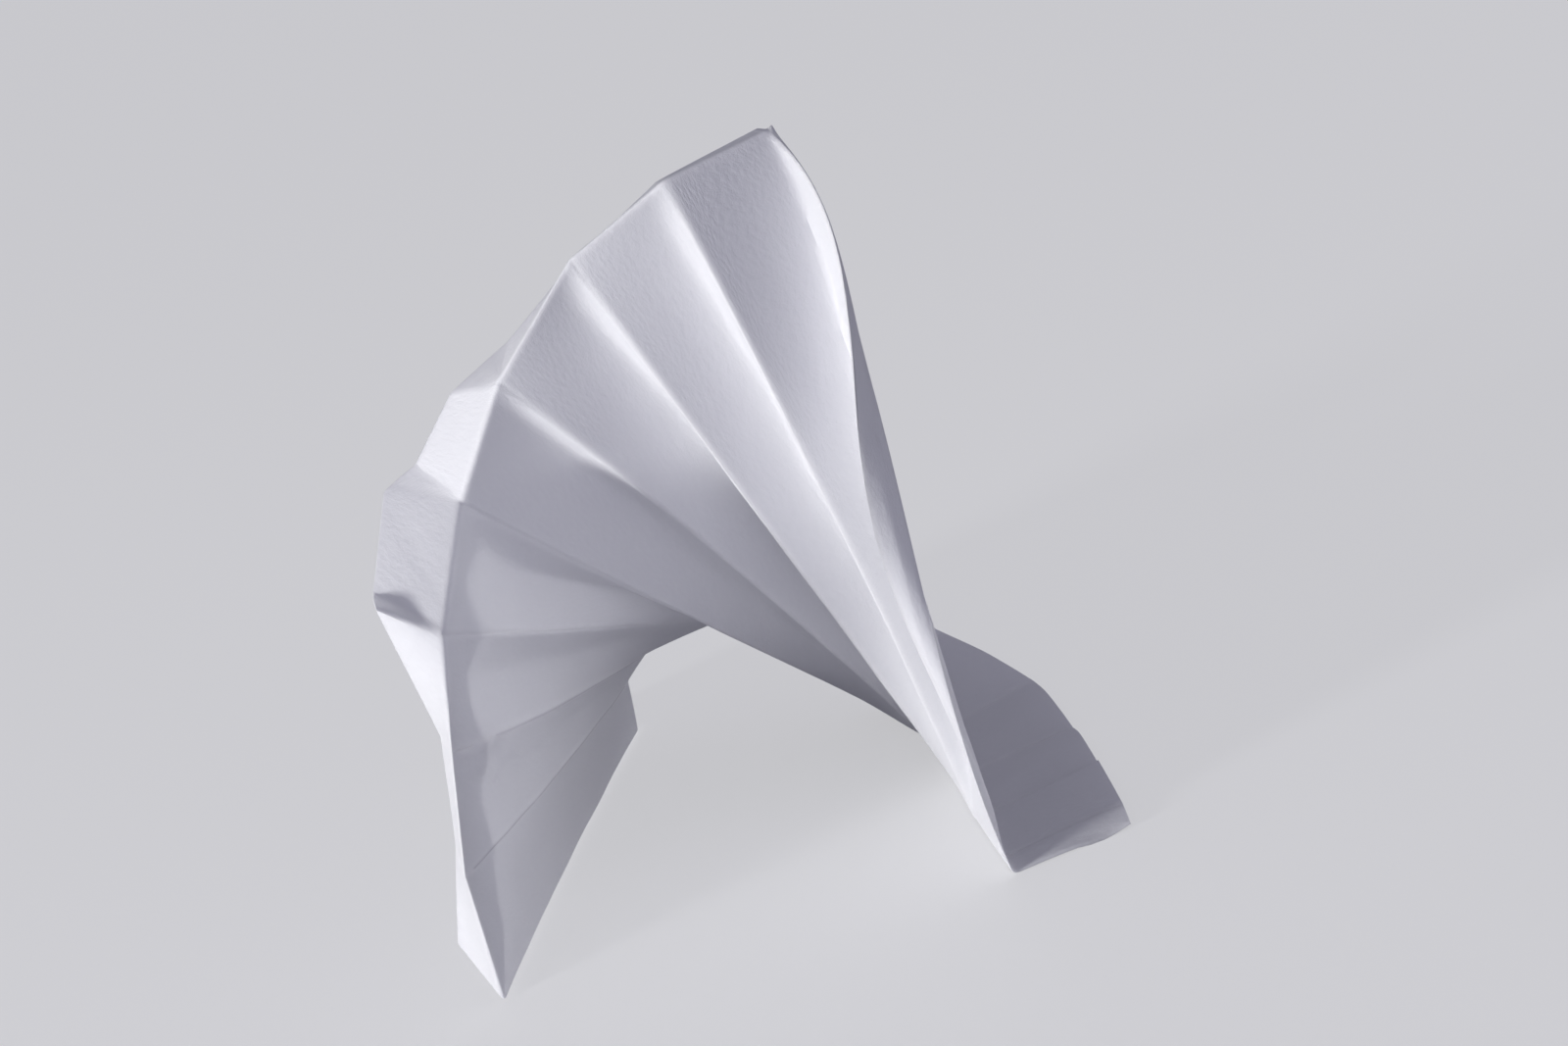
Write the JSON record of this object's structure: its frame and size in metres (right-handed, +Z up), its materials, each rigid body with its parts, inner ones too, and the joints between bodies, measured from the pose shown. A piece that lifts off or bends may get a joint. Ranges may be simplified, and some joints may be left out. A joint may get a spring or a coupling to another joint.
{
  "type": "pleated paper fan",
  "caption": "White paper fan: one sheet pleated by hand and folded back along both long edges, standing on the floor as an arch.",
  "frame": {"origin": "on the floor, under the middle of the sheet's box", "axes": "+Z up, +Y back, away from the viewer, +X to the viewer's right"},
  "size_m": [0.121, 0.1858, 0.139],
  "materials": {
    "paper": "uncoated cartridge paper with a visible grain, matt, cut edges rough and fibrous"
  },
  "bodies": {
    "root": {"folded_sheet": "paper"}
  },
  "joints": []
}
